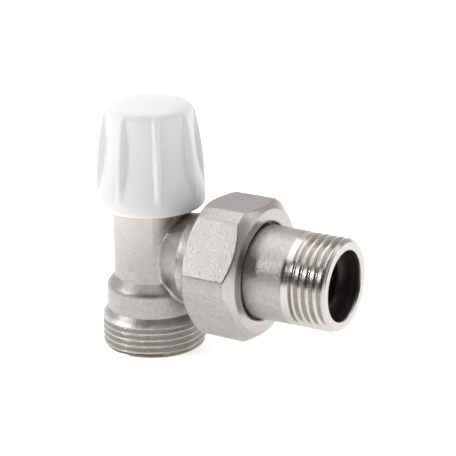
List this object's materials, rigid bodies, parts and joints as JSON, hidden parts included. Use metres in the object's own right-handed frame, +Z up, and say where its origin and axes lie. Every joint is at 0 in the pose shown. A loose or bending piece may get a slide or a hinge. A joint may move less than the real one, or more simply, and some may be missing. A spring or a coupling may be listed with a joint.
{
  "type": "radiator lockshield valve",
  "caption": "Angle lockshield valve with a ribbed screw cap over its spindle, a threaded inlet below, and a hexagon union nut and threaded radiator tail to one side.",
  "frame": {"origin": "centre of the inlet's end face, which is also the mouth of its smooth socket", "axes": "+Z up the valve's own axis, from the inlet to the cap; +X out along the radiator tail"},
  "size_m": [0.0622, 0.0328, 0.0586],
  "materials": {
    "nickel": "nickel-plated brass, satin from blasting, bright where machined",
    "brass": "plain turned brass",
    "white_plastic": "white moulded plastic with a soft gloss",
    "rubber": "black rubber",
    "ptfe": "white fluoroplastic",
    "steel": "plain steel"
  },
  "bodies": {
    "valve": {"valve_body": "nickel", "headwork_housing": "brass", "headwork_o_ring": "rubber", "gland_nut": "brass", "gland_washer": "brass", "gland_packing": "ptfe"},
    "plug": {"plug_holder": "brass", "swivel_clip": "steel", "plug_seal": "rubber", "plug_washer": "brass", "plug_screw": "brass"},
    "spindle": {"spindle": "brass", "spindle_o_ring_lower": "rubber", "spindle_o_ring_upper": "rubber", "back_seat_washer": "ptfe"},
    "cap_gasket": {"cap_gasket": "rubber"},
    "cap": {"lockshield_cap": "white_plastic"},
    "tail": {"tailpiece": "nickel", "tailpiece_o_ring": "rubber"},
    "union_nut": {"union_nut": "nickel"}
  },
  "joints": [
    {"name": "plug_lift", "type": "slide", "parent": "valve", "child": "plug", "axis": [0, 0, 1], "range_m": [0, 0.0035]},
    {"name": "spindle_turn", "type": "hinge", "parent": "plug", "child": "spindle", "pos_m": [0, 0, 0.0204], "axis": [0, 0, 1], "range_deg": [0, 1260]},
    {"name": "cap_lift", "type": "slide", "parent": "valve", "child": "cap_gasket", "axis": [0, 0, 1], "range_m": [0, 0.006]},
    {"name": "cap_turn", "type": "hinge", "parent": "cap_gasket", "child": "cap", "pos_m": [0, 0, 0.051], "axis": [0, 0, 1], "range_deg": [0, 1440]},
    {"name": "tail_withdraw", "type": "slide", "parent": "valve", "child": "tail", "axis": [1, 0, 0], "range_m": [0, 0.00726]},
    {"name": "nut_turn", "type": "hinge", "parent": "tail", "child": "union_nut", "pos_m": [0.0223, 0, 0.0223], "axis": [1, 0, 0], "range_deg": [0, 1440]}
  ],
  "couplings": [
    {"joint": "plug_lift", "follows": "spindle_turn", "m_per_rad": 0.00015915},
    {"joint": "cap_lift", "follows": "cap_turn", "m_per_rad": 0.00023873},
    {"joint": "tail_withdraw", "follows": "nut_turn", "m_per_rad": 0.00028871}
  ]
}
